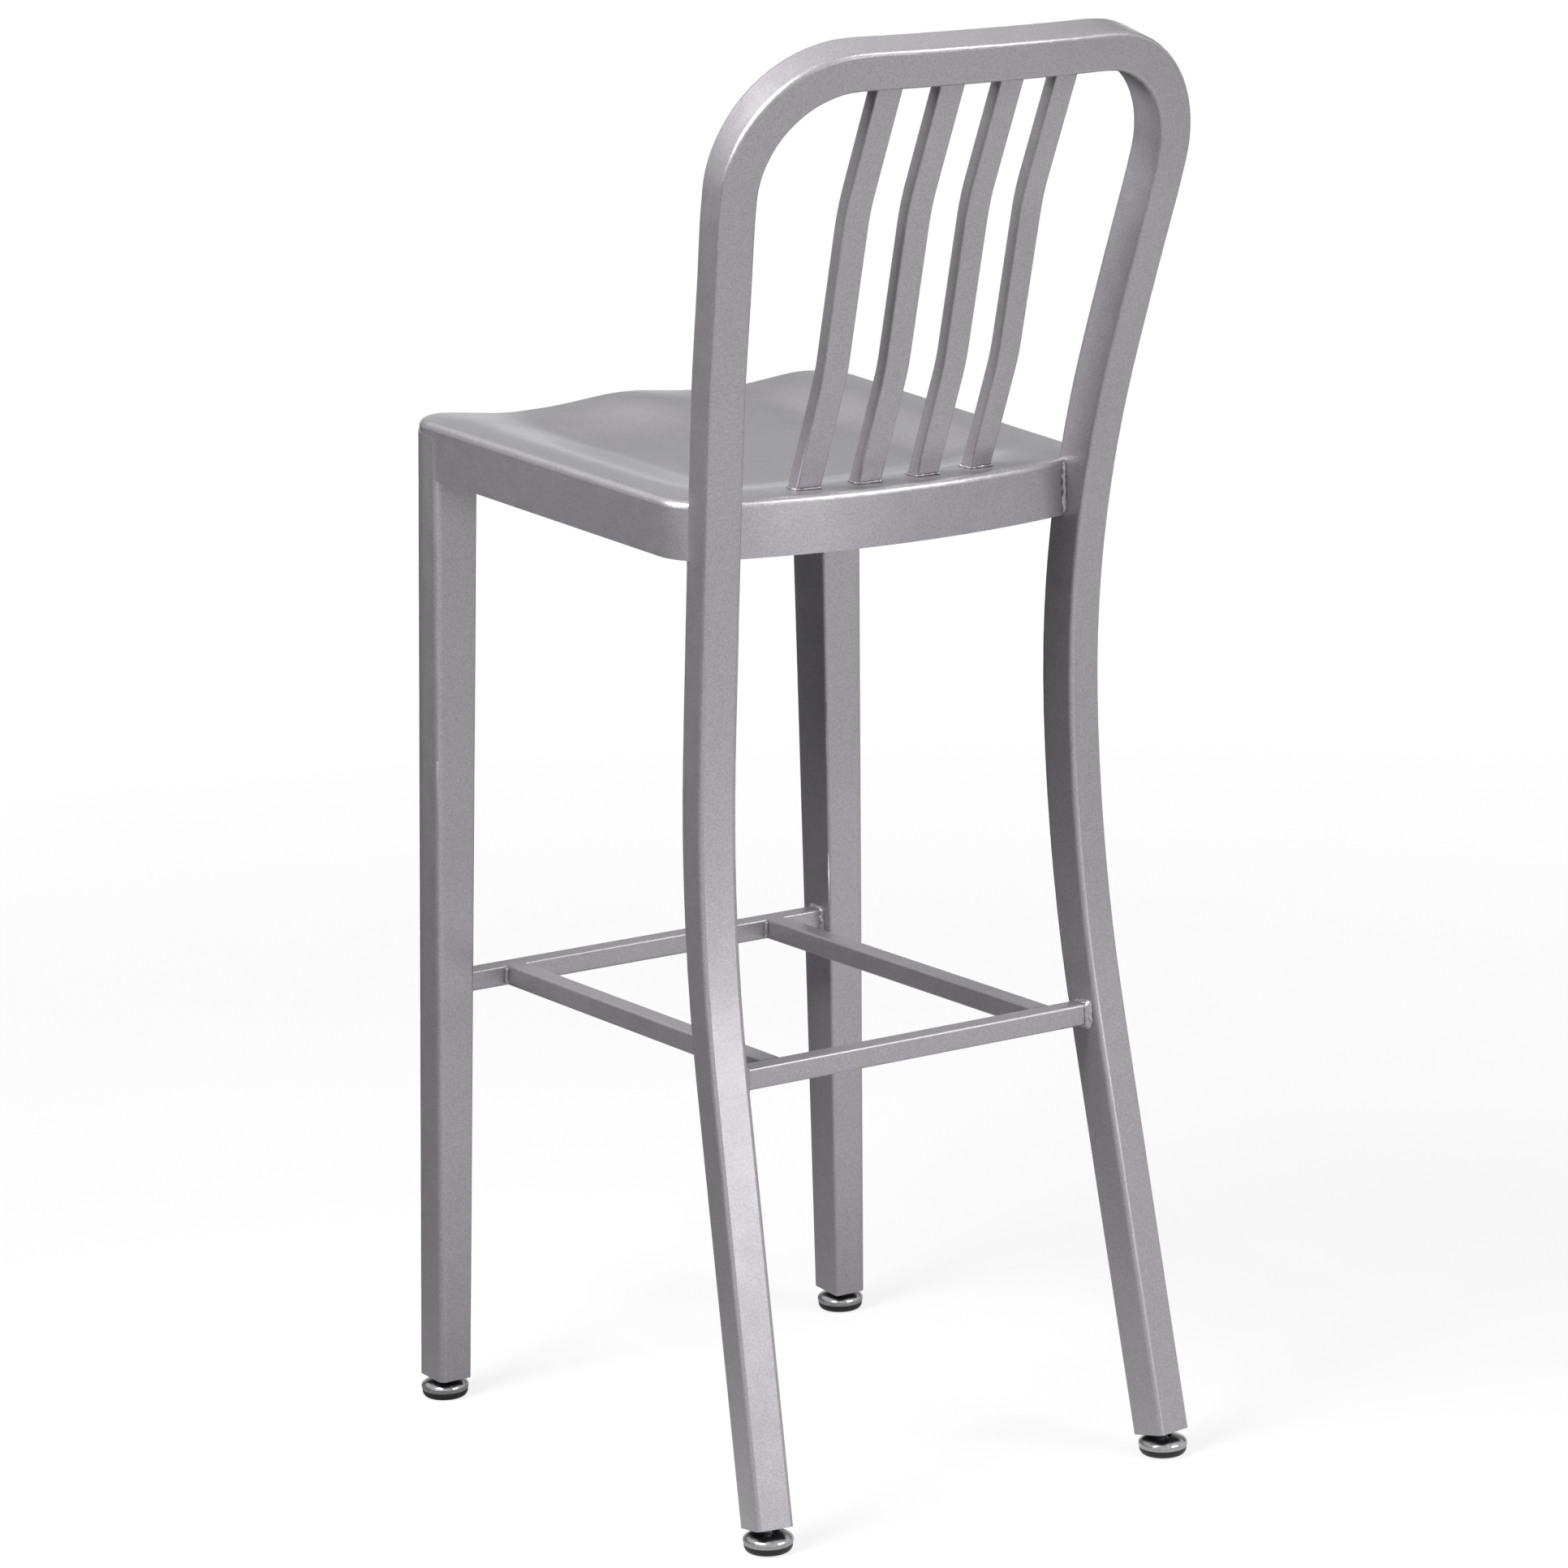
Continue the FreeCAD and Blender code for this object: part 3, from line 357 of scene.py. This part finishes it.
backward = Vector((math.sin(CAM_AZ) * math.cos(CAM_EL),
                   -math.cos(CAM_AZ) * math.cos(CAM_EL),
                   math.sin(CAM_EL)))
right = (-backward).cross(Vector((0, 0, 1))).normalized()
upward = right.cross(-backward).normalized()
rolled_right = right * math.cos(CAM_ROLL) + upward * math.sin(CAM_ROLL)
rolled_upward = upward * math.cos(CAM_ROLL) - right * math.sin(CAM_ROLL)
camera_data = bpy.data.cameras.new("camera")
camera_data.sensor_width = SENSOR_MM
camera_data.lens = FOCAL_PX * SENSOR_MM / IMAGE_SIZE
camera_data.clip_end = CAM_CLIP_END
camera = bpy.data.objects.new("camera", camera_data)
pose = Matrix((rolled_right, rolled_upward, backward)).transposed().to_4x4()
pose.translation = CAM_TARGET + backward * CAM_DIST
camera.matrix_world = pose
scene.collection.objects.link(camera)
scene.camera = camera


# Studio: the camera sees plain white, and the floor keeps the shadow near the stool
FLOOR_RADIUS = 40.0
FLOOR_SIDES = 96
FLOOR_GAP = 0.0004
FLOOR_TONES = [(0.3, (0.94, 0.94, 0.94)), (0.7, (0.96, 0.96, 0.96))]
FLOOR_TONE_SCALE = 3.0
FLOOR_ROUGHNESS = 0.9
FLOOR_SPECULAR = 0.1
# Painted shade: share of the floor paint that bounced light sees, so less light reaches under the stool
FLOOR_BOUNCE = 0.64
SHADOW_NEAR = 0.7
SHADOW_FAR = 2.6
SHADOW_SHARE = 0.19

# Painted reflection: what metal sees of the floor's glow, bright behind the stool, dark in front, dimmer far away
BRIGHT_SIDE = (-0.45, 0.89, 0.0)
FLOOR_FRONT = 0.03
FLOOR_REAR = 1.0
FLOOR_REACH = (-0.75, 0.7)
FLOOR_FAR_SHARE = 0.55
FLOOR_FAR_REACH = (0.8, 3.5)

# What metal sees of the sky: dimmer high up, with a dim band front right and a dim patch front left
SKY_LOW = 0.95
SKY_HIGH = 0.82
SKY_REACH = (0.1, 0.6)
BAND_SIDE = (-0.57, -0.82, 0.0)
BAND_TURN = (0.35, 0.8)
BAND_FOOT = (0.15, 0.23)
BAND_HEAD = (0.43, 0.53)
BAND_DEPTH = 0.7
SHADE_SIDE = (0.53, -0.82, 0.0)
SHADE_TURN = (0.5, 0.95)
SHADE_HEAD = (0.4, 0.65)
SHADE_DEPTH = 0.7
AMBIENT = 0.3


def math_node(tree, operation, first, second):
    node = add(tree, "ShaderNodeMath", operation=operation)
    for socket, value in zip(node.inputs, (first, second)):
        if isinstance(value, (int, float)):
            socket.default_value = value
        else:
            tree.links.new(value, socket)
    return node.outputs["Value"]


def less(tree, level, share):
    return math_node(tree, "MULTIPLY", level, math_node(tree, "SUBTRACT", 1.0, share))


def along(tree, way, side):
    node = add(tree, "ShaderNodeVectorMath", operation="DOT_PRODUCT")
    tree.links.new(way, node.inputs[0])
    node.inputs[1].default_value = side
    return node.outputs["Value"]


def smooth_level(tree, value, reach, low, high):
    level = to_range(tree, value, low, high, *reach)
    level.node.interpolation_type = "SMOOTHSTEP"
    return level


def seen_share(tree, rays):
    mirrored = math_node(tree, "MAXIMUM", rays.outputs["Is Glossy Ray"], rays.outputs["Is Transmission Ray"])
    return math_node(tree, "MAXIMUM", rays.outputs["Is Camera Ray"], mirrored)


def studio_strength(tree, rays, level):
    camera_part = rays.outputs["Is Camera Ray"]
    return math_node(tree, "ADD", camera_part, less(tree, level, camera_part))


floor_mesh = bpy.data.meshes.new("floor")
floor_builder = bmesh.new()
bmesh.ops.create_circle(floor_builder, cap_ends=True, radius=FLOOR_RADIUS, segments=FLOOR_SIDES)
floor_builder.to_mesh(floor_mesh)
floor_builder.free()
floor = bpy.data.objects.new("floor", floor_mesh)
floor.location.z = -FLOOR_GAP
scene.collection.objects.link(floor)

floor_material, floor_tree, floor_shader = new_material("floor_pale")
floor_links = floor_tree.links
floor_coords = object_coords(floor_tree)
floor_rays = floor_tree.nodes.new("ShaderNodeLightPath")
floor_paint = ramp(floor_tree, noise(floor_tree, floor_coords, FLOOR_TONE_SCALE), FLOOR_TONES)
# Painted shade: the floor paint is darker for bounced light than for the camera, dimming the light bounced up
# under the stool
floor_dim = add(floor_tree, "ShaderNodeVectorMath", operation="SCALE")
floor_bounce = to_range(floor_tree, floor_rays.outputs["Is Camera Ray"], FLOOR_BOUNCE, 1.0)
floor_links.new(floor_paint, floor_dim.inputs[0])
floor_links.new(floor_bounce, floor_dim.inputs["Scale"])
floor_links.new(floor_dim.outputs["Vector"], floor_shader.inputs["Base Color"])
floor_shader.inputs["Roughness"].default_value = FLOOR_ROUGHNESS
floor_shader.inputs["Specular IOR Level"].default_value = FLOOR_SPECULAR

# Painted reflection: for glossy rays the floor glows brighter behind the stool and darker in front and far away
floor_way = along(floor_tree, floor_coords, BRIGHT_SIDE)
near_level = smooth_level(floor_tree, floor_way, FLOOR_REACH, FLOOR_FRONT, FLOOR_REAR)
distance_node = add(floor_tree, "ShaderNodeVectorMath", operation="LENGTH")
floor_links.new(floor_coords, distance_node.inputs[0])
distance = distance_node.outputs["Value"]
far_share = smooth_level(floor_tree, distance, FLOOR_FAR_REACH, 1.0, FLOOR_FAR_SHARE)
floor_reflection_level = math_node(floor_tree, "MULTIPLY", near_level, far_share)
floor_glow = add(floor_tree, "ShaderNodeEmission", Color=WHITE)
floor_links.new(studio_strength(floor_tree, floor_rays, floor_reflection_level), floor_glow.inputs["Strength"])

plain_share = to_range(floor_tree, distance, 1.0 - SHADOW_SHARE, 1.0, SHADOW_NEAR, SHADOW_FAR)
glow_share = math_node(floor_tree, "MULTIPLY", plain_share, seen_share(floor_tree, floor_rays))
floor_mix = floor_tree.nodes.new("ShaderNodeMixShader")
floor_links.new(glow_share, floor_mix.inputs["Fac"])
floor_links.new(floor_shader.outputs["BSDF"], floor_mix.inputs[1])
floor_links.new(floor_glow.outputs["Emission"], floor_mix.inputs[2])
floor_links.new(floor_mix.outputs["Shader"], floor_tree.nodes["Material Output"].inputs["Surface"])
floor_mesh.materials.append(floor_material)

world = bpy.data.worlds.new("studio")
scene.world = world
world.use_nodes = True
sky = world.node_tree
sky.nodes.clear()
sky_rays = sky.nodes.new("ShaderNodeLightPath")
sky_way = sky.nodes.new("ShaderNodeTexCoord").outputs["Generated"]
sky_parts = sky.nodes.new("ShaderNodeSeparateXYZ")
sky.links.new(sky_way, sky_parts.inputs["Vector"])
sky_height = sky_parts.outputs["Z"]
sky_level = smooth_level(sky, sky_height, SKY_REACH, SKY_LOW, SKY_HIGH)

band_foot = smooth_level(sky, sky_height, BAND_FOOT, 0.0, 1.0)
band_head = smooth_level(sky, sky_height, BAND_HEAD, 1.0, 0.0)
band_turn = smooth_level(sky, along(sky, sky_way, BAND_SIDE), BAND_TURN, 0.0, BAND_DEPTH)
band = math_node(sky, "MULTIPLY", math_node(sky, "MULTIPLY", band_foot, band_head), band_turn)
shade_head = smooth_level(sky, sky_height, SHADE_HEAD, 1.0, 0.0)
shade_turn = smooth_level(sky, along(sky, sky_way, SHADE_SIDE), SHADE_TURN, 0.0, SHADE_DEPTH)
shade = math_node(sky, "MULTIPLY", shade_head, shade_turn)
seen_level = less(sky, less(sky, sky_level, band), shade)

lighting = add(sky, "ShaderNodeBackground", Color=WHITE, Strength=AMBIENT)
backdrop = add(sky, "ShaderNodeBackground", Color=WHITE)
sky.links.new(studio_strength(sky, sky_rays, seen_level), backdrop.inputs["Strength"])
sky_mix = sky.nodes.new("ShaderNodeMixShader")
sky_out = sky.nodes.new("ShaderNodeOutputWorld")
sky.links.new(seen_share(sky, sky_rays), sky_mix.inputs["Fac"])
sky.links.new(lighting.outputs["Background"], sky_mix.inputs[1])
sky.links.new(backdrop.outputs["Background"], sky_mix.inputs[2])
sky.links.new(sky_mix.outputs["Shader"], sky_out.inputs["Surface"])


# Square soft boxes, in metres and watts
def softbox(name, place, aim, size, power):
    data = bpy.data.lights.new(name, "AREA")
    data.shape = "SQUARE"
    data.size = size
    data.energy = power
    lamp = bpy.data.objects.new(name, data)
    lamp.location = place
    lamp.rotation_euler = (Vector(aim) - Vector(place)).to_track_quat("-Z", "Y").to_euler()
    scene.collection.objects.link(lamp)


softbox("key", place=(-1.6, 2.7, 2.7), aim=(0, 0, 0.45), size=1.8, power=66.0)
softbox("left", place=(1.2, 0.1, 1.85), aim=(0, 0, 0.8), size=0.8, power=47.0)
softbox("low_spot", place=(-1.05, 4.47, 0.645), aim=(0.17, 0.15, 0.33), size=0.4, power=12.5)

scene.view_settings.view_transform = "Standard"
